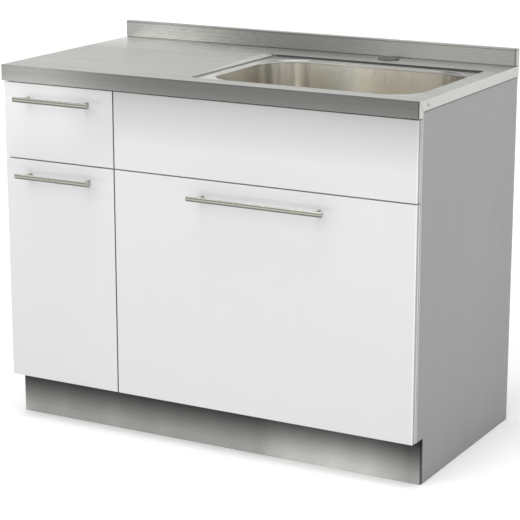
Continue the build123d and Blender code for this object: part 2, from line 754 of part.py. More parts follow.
# ---------------------------------------------------------------- all nodes
def all_nodes():
    nodes = {
        "worktop": worktop(),
        "apron_end_caps": apron_end_caps(),
        "upstand": upstand(),
        "worktop_board": worktop_board(),
        "worktop_front_batten": worktop_front_batten(),
        "worktop_side_screws": worktop_side_screws(),
        "tap_hole_cover": tap_hole_cover(),
        "tap_hole_clamp": tap_hole_clamp(),
        "sink_bowl": sink_bowl(),
        "waste_flange": waste_flange(),
        "waste_locknut": waste_locknut(),
        "trap_body": trap_body(),
        "outlet_spigot": outlet_spigot(),
        "outlet_nut": outlet_nut(),
        "trap_insert": trap_insert(),
        "strainer_basket": strainer_basket(),
        "waste_lid": waste_lid(),
        "side_panel_left": side_panel(-1),
        "side_panel_right": side_panel(1),
        "partition_panel": partition_panel(),
        "base_panel": base_panel(),
        "back_panel": back_panel(),
        "wall_rail": wall_rail(),
        "front_rail": front_rail(),
        "drawer_divider_rail": cross_rail(left_bay),
        "sink_cross_rail": cross_rail(right_bay),
        "plinth_board": plinth_board(),
        "plinth_rear_rail": plinth_rear_rail(),
        "sink_front": sink_front(),
        "sink_front_brackets": sink_front_brackets(),
        "cabinet_runners": [piece for drawer in drawers for piece in runner_members(drawer, "cabinet")],
    }
    for drawer in drawers:
        nodes[drawer.name + "_front"] = drawer_front(drawer)
        nodes[drawer.name + "_handle_bar"] = handle_bar(drawer)
        nodes[drawer.name + "_handle_posts"] = handle_posts(drawer)
        nodes[drawer.name + "_handle_screws"] = handle_screws(drawer)
        nodes[drawer.name + "_box_sides"] = box_sides(drawer)
        nodes[drawer.name + "_box_back"] = box_back(drawer)
        nodes[drawer.name + "_box_base"] = box_base_panel(drawer)
        nodes[drawer.name + "_runner_members"] = runner_members(drawer, "drawer")
        nodes[drawer.name + "_middle_runners"] = runner_members(drawer, "middle")
        if drawer.name in gallery_levels:
            nodes[drawer.name + "_gallery"] = gallery(drawer)
    return nodes


for name, shape in all_nodes().items():
    pieces = shape if isinstance(shape, list) else [shape]
    solids = [solid for piece in pieces for solid in piece.solids()]
    export_step(solids[0] if len(solids) == 1 else Compound(children=solids), "parts/" + name + ".step")
print("nodes written")
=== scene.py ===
# %% [markdown]
# # A kitchen sink unit, dressed for its picture
#
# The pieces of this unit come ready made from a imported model: a folded steel worktop with a drawn bowl,
# a carcass of laminated board, three pull-outs with gloss fronts and bar handles.
# This lesson gives every piece its finish, rounds the edges of the boards, and sets light and camera.
# All lengths are metres. X runs to the right seen from the front, Y to the wall and Z up.

import math

import bmesh
import bpy
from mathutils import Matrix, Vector


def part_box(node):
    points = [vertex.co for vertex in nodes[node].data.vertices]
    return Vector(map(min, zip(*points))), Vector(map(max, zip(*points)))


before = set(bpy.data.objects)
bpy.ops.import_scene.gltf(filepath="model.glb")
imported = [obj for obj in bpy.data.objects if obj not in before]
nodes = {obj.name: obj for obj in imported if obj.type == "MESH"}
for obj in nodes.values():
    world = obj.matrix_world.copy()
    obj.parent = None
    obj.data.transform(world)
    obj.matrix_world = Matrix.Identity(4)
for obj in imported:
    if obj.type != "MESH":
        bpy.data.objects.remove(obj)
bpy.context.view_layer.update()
mm = 0.001

# %% [markdown]
# ## Measures taken from the pieces
#
# The finishes need a few planes: where the worktop ends, where the fronts stand, where the rim of the
# bowl lies. They could be typed in, but then they would drift when the model changes, so they are read
# from the boxes of the pieces themselves.

# %% Measures
top_low, top_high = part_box("worktop")
stand_low, stand_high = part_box("upstand")
front_low, front_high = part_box("sink_front")
bowl_low, bowl_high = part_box("sink_bowl")
plinth_low, plinth_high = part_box("plinth_board")
side_low, side_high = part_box("side_panel_right")
drawer_front_low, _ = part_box("sink_drawer_front")
skirt_height = 24 * mm
skirt_low = top_high.z - skirt_height
print("worktop", [round(v, 4) for v in (*top_low, *top_high)])

# %% [markdown]
# ## Small helpers for node trees
#
# A material is a graph. Written out call by call it is long and hard to read, so a few helpers do the
# wiring. `add` makes a node and sets its sockets, where a value may be a number, a colour or the output
# of another node. `new_group` starts a group with named inputs and outputs, and `place` puts a group into
# a material.

# %% Nodes and groups
def feed(tree, node, sockets):
    """Sets a node's inputs. A value is a constant or another node's output."""
    for name, value in sockets.items():
        if isinstance(value, bpy.types.NodeSocket):
            tree.links.new(value, node.inputs[name])
        else:
            node.inputs[name].default_value = value


def add(tree, kind, sockets=None, **settings):
    made = tree.nodes.new(kind)
    for name, value in settings.items():
        setattr(made, name, value)
    feed(tree, made, sockets or {})
    return made


def new_group(name, inputs, outputs):
    """A node group. inputs are (name, kind, default) and outputs (name, kind)."""
    tree = bpy.data.node_groups.new(name, "ShaderNodeTree")
    for label, kind, default in inputs:
        socket = tree.interface.new_socket(label, in_out="INPUT", socket_type="NodeSocket" + kind)
        socket.default_value = default
    for label, kind in outputs:
        tree.interface.new_socket(label, in_out="OUTPUT", socket_type="NodeSocket" + kind)
    start = tree.nodes.new("NodeGroupInput")
    end = tree.nodes.new("NodeGroupOutput")
    return tree, start.outputs, end.inputs


def place(tree, group, sockets):
    """Puts a group into a material with its own values."""
    made = add(tree, "ShaderNodeGroup", node_tree=group)
    feed(tree, made, sockets)
    return made.outputs


print("node helpers ready")

# %% [markdown]
# ## Sums with values
#
# Most of what follows is arithmetic on masks, which run from 0 to 1. A mask could go to the shader through
# a colour ramp. A plain map from one span to another is easier to read and to change, and products of
# masks tell where two things are true at once.

# %% Values
def math_node(tree, operation, a, b=0.0, clamp=False):
    return add(tree, "ShaderNodeMath", {0: a, 1: b}, operation=operation, use_clamp=clamp).outputs[0]


def multiply(tree, product, *factors):
    for factor in factors:
        product = math_node(tree, "MULTIPLY", product, factor)
    return product


def remap(tree, value, low, high, to_low=0.0, to_high=1.0):
    """Stretches a value from one span to another and holds it there."""
    sockets = {"Value": value, "From Min": low, "From Max": high, "To Min": to_low, "To Max": to_high}
    return add(tree, "ShaderNodeMapRange", sockets, clamp=True).outputs[0]


def between(tree, mask, at_zero, at_one):
    """Turns a mask into a value that runs from one level to another."""
    return remap(tree, mask, 0.0, 1.0, at_zero, at_one)


def around_one(tree, mask, span):
    """Turns a mask into a factor that strays from 1 by up to the span."""
    return between(tree, mask, 1.0 - span, 1.0 + span)


def blend_values(tree, factor, a, b):
    return add(tree, "ShaderNodeMix", {0: factor, 2: a, 3: b}, data_type="FLOAT").outputs[0]


print("value helpers ready")

# %% Colours
def blend_colors(tree, factor, a, b):
    """Colour a where the factor is 0, and colour b where it is 1."""
    return add(tree, "ShaderNodeMix", {0: factor, 6: a, 7: b}, data_type="RGBA").outputs[2]


def scaled(tree, color, factor):
    return add(tree, "ShaderNodeVectorMath", {0: color, "Scale": factor}, operation="SCALE").outputs[0]


def lighter(color, factor):
    return [min(1.0, level * factor) for level in color[:3]] + [1.0]


print("colour helpers ready")

# %% [markdown]
# ## Places on a piece
#
# A texture needs coordinates. Those of the scene would let the grain swim when a drawer slides, and a flat
# unwrapping has seams. Each piece's own coordinates do neither. Counted in cells for each metre, they also
# stretch a noise. Noise keeps near its middle value, so `spread` draws it out until it fills a mask.

# %% Places and noise
def own_place(tree):
    return add(tree, "ShaderNodeTexCoord").outputs["Object"]


def in_cells(tree, cells):
    """The piece's own coordinates, counted in cells for each metre along X, Y and Z."""
    sockets = {0: own_place(tree), 1: cells}
    return add(tree, "ShaderNodeVectorMath", sockets, operation="MULTIPLY").outputs[0]


def along_axis(tree, axis, low, high, to_low=0.0, to_high=1.0):
    """A value that runs from one level to another along X, Y or Z of the piece."""
    where = add(tree, "ShaderNodeSeparateXYZ", {0: own_place(tree)}).outputs[axis]
    return remap(tree, where, low, high, to_low, to_high)


def within(tree, axis, start, full, waning, end):
    """One from full to waning along an axis, and nothing before start or past end."""
    rise = along_axis(tree, axis, start, full)
    return multiply(tree, rise, along_axis(tree, axis, waning, end, 1.0, 0.0))


def noise(tree, where, scale, detail, roughness=0.5, distortion=0.0):
    sockets = {"Vector": where, "Scale": scale, "Detail": detail, "Roughness": roughness,
               "Distortion": distortion}
    return add(tree, "ShaderNodeTexNoise", sockets).outputs["Fac"]


def spread(tree, value):
    """Stretches the part of a noise that mostly occurs to a mask from 0 to 1."""
    return remap(tree, value, 0.3, 0.7)


print("places and noise ready")

# %% [markdown]
# ## Effect: brushed grain
#
# Sheet steel is ground with a belt, which leaves thousands of fine parallel scratches. A picture of
# scratches would repeat and blur. Here a noise is squeezed hard across the grain and hardly along it, so
# each speck turns into a long hair. Two scales are mixed: hairs a fraction of a millimetre wide and
# broader bands where the belt pressed harder. The group takes the stretch along X, Y and Z in cells for
# each metre, so one group serves grain in any direction.

# %% Group: brushed grain
def make_brushed_grain():
    inputs = [("Stretch", "Vector", (6.0, 900.0, 900.0)),
              ("Band share", "Float", 0.35),
              ("Band size", "Float", 0.08)]
    tree, given, out = new_group("Brushed grain", inputs, [("Grain", "Float"), ("Hair", "Float")])
    fine_at = in_cells(tree, given["Stretch"])
    broad_at = scaled(tree, fine_at, given["Band size"])
    hair = spread(tree, noise(tree, fine_at, 1.0, 3.0, roughness=0.65))
    band = spread(tree, noise(tree, broad_at, 1.0, 2.0))
    tree.links.new(blend_values(tree, given["Band share"], hair, band), out["Grain"])
    tree.links.new(hair, out["Hair"])
    return tree


brushed_grain = make_brushed_grain()
print("group", brushed_grain.name)

# %% [markdown]
# ## Effect: slow tone
#
# No real surface has one even tone: steel clouds where it was wiped, board fades and yellows a little.
# A low noise gives this. It could be mixed into every material by hand, but as a group it is one node
# with a size and two limits.

# %% Group: slow tone
def make_slow_tone():
    inputs = [("Cells", "Vector", (3.0, 3.0, 3.0)), ("Low", "Float", 0.95), ("High", "Float", 1.05)]
    tree, given, out = new_group("Slow tone", inputs, [("Tone", "Float")])
    cloud = spread(tree, noise(tree, in_cells(tree, given["Cells"]), 1.0, 2.0, roughness=0.45))
    tree.links.new(between(tree, cloud, given["Low"], given["High"]), out["Tone"])
    return tree


slow_tone = make_slow_tone()
print("group", slow_tone.name)

# %% [markdown]
# ## Effect: edge wear and painted edge highlight
#
# Hands and cloths polish an edge before a face. The edge could be painted by hand, or read from how fast the
# surface turns. The Bevel node gives a normal averaged over a small radius. Where it leaves the true normal,
# an edge is near, so their difference is the mask. The fronts use the same mask for a painted highlight along
# their edges.

# %% Group: edge wear and highlight
def make_edge_wear_and_highlight():
    inputs = [("Breakup", "Float", 120.0), ("Strength", "Float", 1.0), ("Radius", "Float", 0.0015)]
    tree, given, out = new_group("Edge wear and highlight", inputs, [("Edge", "Float")])
    soft = add(tree, "ShaderNodeBevel", {"Radius": given["Radius"]}, samples=4).outputs[0]
    true = add(tree, "ShaderNodeNewGeometry").outputs["Normal"]
    alike = add(tree, "ShaderNodeVectorMath", {0: soft, 1: true}, operation="DOT_PRODUCT").outputs["Value"]
    still_flat, full_edge = 0.995, 0.85
    turned = remap(tree, alike, still_flat, full_edge)
    patches = noise(tree, own_place(tree), given["Breakup"], 2.0)
    patchy = remap(tree, patches, 0.35, 0.65, 0.4, 1.0)
    wear_and_highlight = math_node(tree, "MULTIPLY", multiply(tree, turned, patchy), given["Strength"], clamp=True)
    tree.links.new(wear_and_highlight, out["Edge"])
    return tree


edge_wear_and_highlight = make_edge_wear_and_highlight()
print("group", edge_wear_and_highlight.name)

# %% [markdown]
# ## Effect: handling marks
#
# Gloss and steel show faint smears where they were touched and wiped. They hardly change the colour and
# mostly change how sharp a reflection is, so this group gives a mask that the materials feed into
# roughness. Two noises of different size are multiplied, which leaves islands rather than an even fog.

# %% Group: handling marks
def make_handling_marks():
    inputs = [("Size", "Float", 9.0), ("Amount", "Float", 0.5)]
    tree, given, out = new_group("Handling marks", inputs, [("Marks", "Float")])
    where = own_place(tree)
    speck_scale = multiply(tree, given["Size"], 7.0)
    wide = noise(tree, where, given["Size"], 3.0, distortion=0.6)
    close = noise(tree, where, speck_scale, 4.0)
    islands = remap(tree, wide, 0.45, 0.7)
    specks = remap(tree, close, 0.35, 0.75)
    marks = math_node(tree, "MULTIPLY", multiply(tree, islands, specks), given["Amount"], clamp=True)
    tree.links.new(marks, out["Marks"])
    return tree


handling_marks = make_handling_marks()
print("group", handling_marks.name)

# %% [markdown]
# ## Effect: fine texture
#
# Moulded plastic, printed laminate and lacquer all have a skin that is not quite smooth. One noise with a
# stretch covers them: even for plastic, drawn out upright for a laminate's pores, wide for the slight
# waviness of a gloss film.

# %% Group: fine texture
def make_fine_texture():
    inputs = [("Cells", "Vector", (400.0, 400.0, 400.0))]
    tree, given, out = new_group("Fine texture", inputs, [("Texture", "Float")])
    skin = noise(tree, in_cells(tree, given["Cells"]), 1.0, 4.0, roughness=0.6)
    tree.links.new(spread(tree, skin), out["Texture"])
    return tree


def texture_of(tree, cells):
    return place(tree, fine_texture, {"Cells": cells})["Texture"]


fine_texture = make_fine_texture()
print("group", fine_texture.name)

# %% [markdown]
# ## Effect: turned that way
#
# The folded sheets get a painted reflection tone for each way a face looks, and a front's film gets a painted
# grey shade on its right side. This group tells how far a surface faces a given direction, read from the
# piece's own normal, so it stays with the piece when a drawer slides.

# %% Group: facing
def make_facing():
    inputs = [("Direction", "Vector", (0.0, -1.0, 0.0)), ("From", "Float", 0.3), ("To", "Float", 0.9)]
    tree, given, out = new_group("Facing", inputs, [("Facing", "Float")])
    normal = add(tree, "ShaderNodeTexCoord").outputs["Normal"]
    alike = add(tree, "ShaderNodeVectorMath", {0: normal, 1: given["Direction"]}, operation="DOT_PRODUCT")
    turned = remap(tree, alike.outputs["Value"], given["From"], given["To"])
    tree.links.new(turned, out["Facing"])
    return tree


facing = make_facing()
to_front, to_right, to_top = (0.0, -1.0, 0.0), (1.0, 0.0, 0.0), (0.0, 0.0, 1.0)


def faces(tree, direction, start, full):
    """How far a surface faces a direction. start and full are cosines, where 1 is straight that way."""
    return place(tree, facing, {"Direction": direction, "From": start, "To": full})["Facing"]


print("group", facing.name)

# %% [markdown]
# ## Starting a material
#
# Every material ends in one Principled shader. `start_material` makes it and sets what is the same all
# over the surface straight on the shader's sockets. `wear_it` gives a finished material to pieces, and
# `shade_base` multiplies a base colour that is already wired by one more factor.

# %% Material helpers
def start_material(name, **constants):
    material = bpy.data.materials.new(name)
    material.use_nodes = True
    tree = material.node_tree
    shader = tree.nodes["Principled BSDF"]
    for label, value in constants.items():
        shader.inputs[label.replace("_", " ")].default_value = value
    return material, tree, shader


def base_of(shader):
    return shader.inputs["Base Color"].links[0].from_socket


def shade_base(tree, shader, factor):
    tree.links.new(scaled(tree, base_of(shader), factor), shader.inputs["Base Color"])


def bump(tree, shader, height, distance, strength=1.0):
    """Raises what the light sees by height times distance, in metres. The mesh stays as it is."""
    node = add(tree, "ShaderNodeBump", {"Height": height, "Distance": distance, "Strength": strength})
    tree.links.new(node.outputs[0], shader.inputs["Normal"])


def wear_it(material, *names):
    for name in names:
        piece = nodes[name]
        if not piece.material_slots:
            piece.data.materials.append(material)
        for used in piece.material_slots:
            used.material = material


def ends_with(*endings):
    return [name for name in sorted(nodes) if name.endswith(endings)]


print("material helpers ready")

# %% [markdown]
# ## Finish: brushed steel sheet
#
# The worktop, its end caps, the upstand and the plinth are one kind of brushed sheet. The grain drives three
# things at once: a little colour, the roughness, and a shallow bump. Reflections smear across the hairs, and
# the shader's tangent tells it which way that is. A metal shows its surroundings, and a studio's dark flags
# and white boards can't all be built here. So each face gets a painted reflection tone of its own, picked by
# which way it faces: one where it looks up, one where it looks forward, a lighter one at the right, and the
# lightest, a painted highlight, where the top falls gently to the right.

# %% Steel sheet
def smear_across(tree, shader, grain_direction):
    """Reflections stretch across the hairs, so the tangent is square to the grain."""
    normal = add(tree, "ShaderNodeNewGeometry").outputs["Normal"]
    across = add(tree, "ShaderNodeVectorMath", {0: normal, 1: grain_direction}, operation="CROSS_PRODUCT")
    tree.links.new(across.outputs[0], shader.inputs["Tangent"])


def steel_sheet(name, upward, forward, stretch, roughness, band_share=0.35, band_size=0.08, contrast=0.045):
    """upward and forward are the painted reflection tones of the faces that look up and to the front."""
    right_reflection_factor, fall_highlight_factor, on_edges = 1.12, 1.25, 1.25
    material, tree, shader = start_material(name, Metallic=1.0, Anisotropic=1.0)
    smear_across(tree, shader, (1.0, 0.02, 0.02))
    grain = place(tree, brushed_grain, {"Stretch": stretch, "Band share": band_share, "Band size": band_size})
    tone = place(tree, slow_tone, {"Cells": (2.2, 3.0, 3.0), "Low": 0.96, "High": 1.04})
    marks = place(tree, handling_marks, {"Size": 6.0, "Amount": 0.5})
    edge = place(tree, edge_wear_and_highlight, {"Breakup": 90.0, "Strength": 0.5})
    # Painted reflection tones by the way a face looks, and a painted highlight on the gentle fall to the
    # right.
    base = blend_colors(tree, faces(tree, to_front, 0.35, 0.9), upward, forward)
    base = blend_colors(tree, faces(tree, to_right, 0.35, 0.9), base, lighter(upward, right_reflection_factor))
    fall_highlight = multiply(tree, faces(tree, to_right, 0.015, 0.035), faces(tree, to_top, 0.98, 0.99))
    base = blend_colors(tree, fall_highlight, base, lighter(upward, fall_highlight_factor))
    shade = multiply(tree, around_one(tree, grain["Grain"], contrast), tone["Tone"])
    polished = blend_colors(tree, edge["Edge"], scaled(tree, base, shade), lighter(upward, on_edges))
    tree.links.new(polished, shader.inputs["Base Color"])
    rough = between(tree, grain["Hair"], roughness - 0.04, roughness + 0.04)
    rough = math_node(tree, "ADD", rough, multiply(tree, marks["Marks"], 0.05))
    tree.links.new(rough, shader.inputs["Roughness"])
    bump(tree, shader, grain["Grain"], 0.01 * mm)
    return material, tree, shader


print("steel sheet ready")

# %% [markdown]
# ## The worktop's tones
#
# Four factors change the tone along the worktop. Where the sheet steps down to the sink its cut edge gets a
# painted shade line, less dark where it looks right. The apron's right end closes in a painted shadow line at
# its fold. The apron gets a painted shade towards its upper fold, and the flat top a painted reflection,
# paler towards the wall at the left. Each stands in for a lamp or a mirrored board. As factors on the colour
# they look the same from every side.

# %% Worktop
def hole_edge(tree):
    """One on the cut edge round the sink, which stands above the deck, and nothing elsewhere."""
    height, margin = 0.4 * mm, 1.5 * mm
    inside = along_axis(tree, "Z", bowl_high.z - height, bowl_high.z)
    for axis, low, high in (("X", bowl_low.x, bowl_high.x), ("Y", bowl_low.y, bowl_high.y)):
        inside = multiply(tree, inside, within(tree, axis, low, low + margin, high - margin, high))
    flat = faces(tree, to_top, 0.6, 0.9)
    return multiply(tree, inside, math_node(tree, "SUBTRACT", 1.0, flat))


def shade_worktop(tree, shader):
    # Painted shade on the cut edge round the sink, a painted shadow line at the apron's right end, painted
    # shade under the apron's upper fold and painted light at the rear left of the top.
    riser_shade_depth = between(tree, faces(tree, to_right, 0.3, 0.7), 0.42, 0.28)
    painted_riser_shade = math_node(tree, "SUBTRACT", 1.0, multiply(tree, hole_edge(tree), riser_shade_depth))
    apron = faces(tree, to_front, 0.3, 0.6)
    at_end = along_axis(tree, "X", top_high.x - 3 * mm, top_high.x - 2 * mm)
    end_seam_and_shadow = between(tree, multiply(tree, apron, at_end), 1.0, 0.35)
    apron_upper_shade = multiply(tree, apron, along_axis(tree, "Z", top_low.z, top_high.z, -0.04, 0.24))
    under_fold_shade = math_node(tree, "SUBTRACT", 1.0, apron_upper_shade)
    wall_side_light = along_axis(tree, "Y", 90 * mm, 240 * mm, 0.0, 0.50)
    at_left = along_axis(tree, "X", -320 * mm, -60 * mm, 1.0, 0.0)
    painted_rear_left_light = math_node(tree, "ADD", 1.0, multiply(tree, wall_side_light, at_left))
    shade_base(tree, shader, multiply(tree, painted_riser_shade, end_seam_and_shadow, under_fold_shade, painted_rear_left_light))


along_unit = (3.0, 260.0, 1500.0)
steel_top, tree, shader = steel_sheet(
    "steel_top", (0.50, 0.505, 0.478, 1.0), (0.207, 0.207, 0.198, 1.0), along_unit, 0.24,
    band_share=0.6, band_size=0.2, contrast=0.09)
shade_worktop(tree, shader)
wear_it(steel_top, "worktop", "apron_end_caps")
print("steel on worktop and end caps")

# %% [markdown]
# ## The upstand's lines
#
# The upstand is a folded channel that stands on the worktop. Three fine lines tell that it is folded: a
# painted shade in the groove at its foot, the dark seam of its closed right end, and a painted shade under
# its upper fold. The folds are too fine to catch the light by themselves in a small picture, so these lines
# are drawn in.

# %% Upstand
def shade_upstand(tree, shader):
    # Painted shade in the foot groove and under the upper fold; the right end's seam is a dark line.
    foot_groove_shade = along_axis(tree, "Z", stand_low.z + 1.8 * mm, stand_low.z + 2.2 * mm, 0.50, 1.0)
    end_seam_and_shadow = along_axis(tree, "X", stand_high.x - 5 * mm, stand_high.x - 3.5 * mm, 1.0, 0.35)
    end_face = along_axis(tree, "X", stand_high.x - 2.5 * mm, stand_high.x - 1.5 * mm)
    end_line = math_node(tree, "MAXIMUM", end_seam_and_shadow, end_face)
    fold = stand_high.z
    under_fold_shade = within(tree, "Z", fold - 4.6 * mm, fold - 4.0 * mm, fold - 2.4 * mm, fold - 1.8 * mm)
    fold_shade_line = between(tree, under_fold_shade, 1.0, 0.62)
    shade_base(tree, shader, multiply(tree, foot_groove_shade, end_line, fold_shade_line))


steel_upstand, tree, shader = steel_sheet(
    "steel_upstand", (0.46, 0.46, 0.437, 1.0), (0.295, 0.295, 0.28, 1.0), along_unit, 0.27,
    band_size=0.2, contrast=0.035)
shade_upstand(tree, shader)
wear_it(steel_upstand, "upstand")
print("steel on upstand")

# %% [markdown]
# ## The plinth's painted reflection
#
# The plinth stands back under the fronts. Low down it mirrors the pale floor, and higher up the dark gap
# under the fronts. A lamp near the floor could give this glow, but it would light the floor too. So the
# reflection is painted as a power curve up the board. A painted sheen makes it stronger in one wide patch
# right of the middle, and the board's right end closes in a dark line.

# %% Plinth
def shade_plinth(tree, shader):
    # Painted reflection of the floor, fading up the board, and a painted sheen in one wide patch.
    rise = along_axis(tree, "Z", plinth_low.z, plinth_high.z, 1.0, 0.0)
    glow, ground_tone, fall = 0.74, 0.028, 1.6
    painted_floor_reflection = math_node(tree, "ADD", multiply(tree, math_node(tree, "POWER", rise, fall), glow), ground_tone)
    sheen_x, sheen_reach = 310 * mm, 185 * mm
    from_sheen = along_axis(tree, "X", sheen_x - sheen_reach, sheen_x + sheen_reach, -1.0, 1.0)
    sheen_mask = math_node(tree, "SUBTRACT", 1.0, multiply(tree, from_sheen, from_sheen))
    painted_sheen = between(tree, sheen_mask, 1.0, 1.65)
    end_line = along_axis(tree, "X", plinth_high.x - 2.5 * mm, plinth_high.x - 1.5 * mm, 1.0, 0.4)
    uneven = place(tree, slow_tone, {"Cells": (9.0, 0.0, 0.0), "Low": 0.9, "High": 1.1})["Tone"]
    shade_base(tree, shader, multiply(tree, painted_floor_reflection, painted_sheen, end_line, uneven))


steel_plinth, tree, shader = steel_sheet(
    "steel_plinth", (0.30, 0.30, 0.29, 1.0), (0.60, 0.60, 0.58, 1.0), (9.0, 9.0, 1300.0), 0.27,
    band_share=0.5)
shade_plinth(tree, shader)
wear_it(steel_plinth, "plinth_board")
print("steel on plinth")

# %% [markdown]
# ## Finish: drawn bowl
#
# The bowl is pressed from one sheet of steel and then polished, so it is warmer than the flat sheet, with
# draw lines down its walls. A noise that changes along X and Y but hardly in height makes those lines. In the
# rounded corners the mirrored room slides past quickly and leaves upright streaks, which are painted
# reflections here. A noise read from the surface's own direction makes them: it is even on a flat wall and
# changes fast round a corner. The deck round the bowl is about as pale as the worktop, and the tones of
# walls, floor, deck and the dark rear roll are painted reflections, which follow the height and which way the
# metal faces. The right half gets a painted shade.

# %% Bowl
def painted_corner_streaks(tree, deck):
    """A painted reflection factor that changes with the direction of the walls and is 1 on the deck."""
    normal = add(tree, "ShaderNodeTexCoord").outputs["Normal"]
    turns = (3.4, 3.4, 0.0)
    turned = add(tree, "ShaderNodeVectorMath", {0: normal, 1: turns}, operation="MULTIPLY").outputs[0]
    reflection_streaks = remap(tree, noise(tree, turned, 1.0, 1.0), 0.38, 0.62, 0.70, 1.15)
    return blend_values(tree, deck, reflection_streaks, 1.0)


def bowl_steel():
    material, tree, shader = start_material("steel_bowl", Metallic=1.0)
    hairs = place(tree, brushed_grain, {"Stretch": (500.0, 500.0, 14.0), "Band share": 0.4})
    tone = place(tree, slow_tone, {"Cells": (5.0, 5.0, 2.0), "Low": 0.94, "High": 1.06})
    deck = along_axis(tree, "Z", bowl_high.z - 10 * mm, bowl_high.z - 2 * mm)
    # Painted reflection tones for the walls, the bowl's floor, the deck and the dark rear roll.
    wall, left_wall, bottom = (0.93, 0.90, 0.83, 1.0), (0.67, 0.65, 0.595, 1.0), (0.66, 0.64, 0.595, 1.0)
    deck_top, rear_roll_dark_reflection = (0.56, 0.56, 0.535, 1.0), (0.34, 0.34, 0.325, 1.0)
    base = blend_colors(tree, faces(tree, to_top, 0.55, 0.97), wall, bottom)
    base = blend_colors(tree, faces(tree, to_right, 0.3, 0.95), base, left_wall)
    base = blend_colors(tree, deck, base, deck_top)
    rear_roll = multiply(tree, deck, faces(tree, to_front, 0.05, 0.5))
    base = blend_colors(tree, rear_roll, base, rear_roll_dark_reflection)
    draw_lines = around_one(tree, texture_of(tree, (60.0, 60.0, 1.2)), 0.02)
    brushing = around_one(tree, hairs["Grain"], 0.02)
    painted_right_shade = along_axis(tree, "X", 150 * mm, 400 * mm, 1.0, 0.72)
    reflection_streaks = painted_corner_streaks(tree, deck)
    shade = multiply(tree, draw_lines, brushing, tone["Tone"], reflection_streaks, painted_right_shade)
    tree.links.new(scaled(tree, base, shade), shader.inputs["Base Color"])
    tree.links.new(between(tree, hairs["Hair"], 0.20, 0.27), shader.inputs["Roughness"])
    bump(tree, shader, hairs["Grain"], 0.02 * mm)
    return material


wear_it(bowl_steel(), "sink_bowl")
print("steel on bowl")

# %% [markdown]
# ## Finish: turned and pressed fittings
#
# The waste parts are satin steel, ground in no one direction. The same grain group with even, close cells
# makes that satin. Zinc on the runners, brackets and handle screws is cooler and cloudier: it crystallises
# in patches, which the slow tone gives, and its grain is drawn out along the runners. The rods of the
# galleries, the worktop's dark side screws and the cover over the tap hole are made the same way with
# values of their own.

# %% Satin metals
def satin_metal(name, colour, cells, low, high, roughness, bump_depth=0.01 * mm):
    """low and high are the limits of the slow tone."""
    material, tree, shader = start_material(name, Metallic=1.0)
    grain = place(tree, brushed_grain, {"Stretch": cells, "Band share": 0.3})
    tone = place(tree, slow_tone, {"Cells": (28.0, 28.0, 28.0), "Low": low, "High": high})
    edge = place(tree, edge_wear_and_highlight, {"Breakup": 200.0, "Strength": 0.6})
    shade = multiply(tree, tone["Tone"], around_one(tree, grain["Grain"], 0.05))
    base = blend_colors(tree, edge["Edge"], scaled(tree, colour, shade), lighter(colour, 1.3))
    tree.links.new(base, shader.inputs["Base Color"])
    rough = between(tree, grain["Hair"], roughness - 0.05, roughness + 0.06)
    tree.links.new(rough, shader.inputs["Roughness"])
    bump(tree, shader, grain["Hair"], bump_depth)
    return material


waste_steel = satin_metal("steel_waste", (0.58, 0.575, 0.55), (700.0, 700.0, 700.0), 0.95, 1.05, 0.24)
screw_steel = satin_metal("screw_steel", (0.20, 0.20, 0.20), (900.0, 900.0, 900.0), 0.9, 1.1, 0.3)
rod_metal = satin_metal("bright_rod", (0.70, 0.70, 0.71), (90.0, 90.0, 90.0), 0.98, 1.02, 0.12, 0.004 * mm)
cover_metal = satin_metal("dark_cover", (0.16, 0.162, 0.165), (500.0, 500.0, 500.0), 0.95, 1.05, 0.34)
zinc = satin_metal("zinc_plate", (0.60, 0.62, 0.64), (240.0, 30.0, 240.0), 0.86, 1.08, 0.34)
wear_it(waste_steel, "waste_flange", "strainer_basket", "waste_lid")
wear_it(screw_steel, "worktop_side_screws")
wear_it(rod_metal, *ends_with("_gallery"))
wear_it(cover_metal, "tap_hole_cover")
wear_it(zinc, "tap_hole_clamp", "sink_front_brackets", "cabinet_runners",
        *ends_with("_runner_members", "_middle_runners", "_handle_screws"))
print("satin metals placed")

# %% [markdown]
# ## Finish: brushed nickel handles
#
# The bars are nickel plated and brushed round the bar, with a warm cast. Their hairs run round, so the cells
# are long across the bar and short along it. A thin bar mirrors the whole room in narrow bands: a bright line
# from above, the dark between the lamps, the pale floor in front, and its own shade below. The room here is
# simpler than that, so these bands are painted reflections and a painted shade, colours picked by how far the
# metal looks up.

# %% Nickel
def bar_nickel():
    material, tree, shader = start_material("brushed_nickel", Metallic=1.0)
    hairs = place(tree, brushed_grain, {"Stretch": (1500.0, 60.0, 60.0), "Band share": 0.1})
    shaded, floor_reflection = (0.165, 0.165, 0.142, 1.0), (0.46, 0.46, 0.405, 1.0)
    dark_reflection, top_highlight = (0.23, 0.23, 0.20, 1.0), (0.86, 0.86, 0.79, 1.0)
    # Painted shade below, painted reflection bands and a painted highlight on top.
    base = blend_colors(tree, faces(tree, to_top, -0.3, -0.1), shaded, floor_reflection)
    base = blend_colors(tree, faces(tree, to_top, 0.1, 0.5), base, dark_reflection)
    base = blend_colors(tree, faces(tree, to_top, 0.5, 0.9), base, top_highlight)
    base = scaled(tree, base, around_one(tree, hairs["Grain"], 0.05))
    tree.links.new(base, shader.inputs["Base Color"])
    tree.links.new(between(tree, hairs["Hair"], 0.24, 0.30), shader.inputs["Roughness"])
    return material


wear_it(bar_nickel(), *ends_with("_handle_bar", "_handle_posts"))
print("nickel on handles")

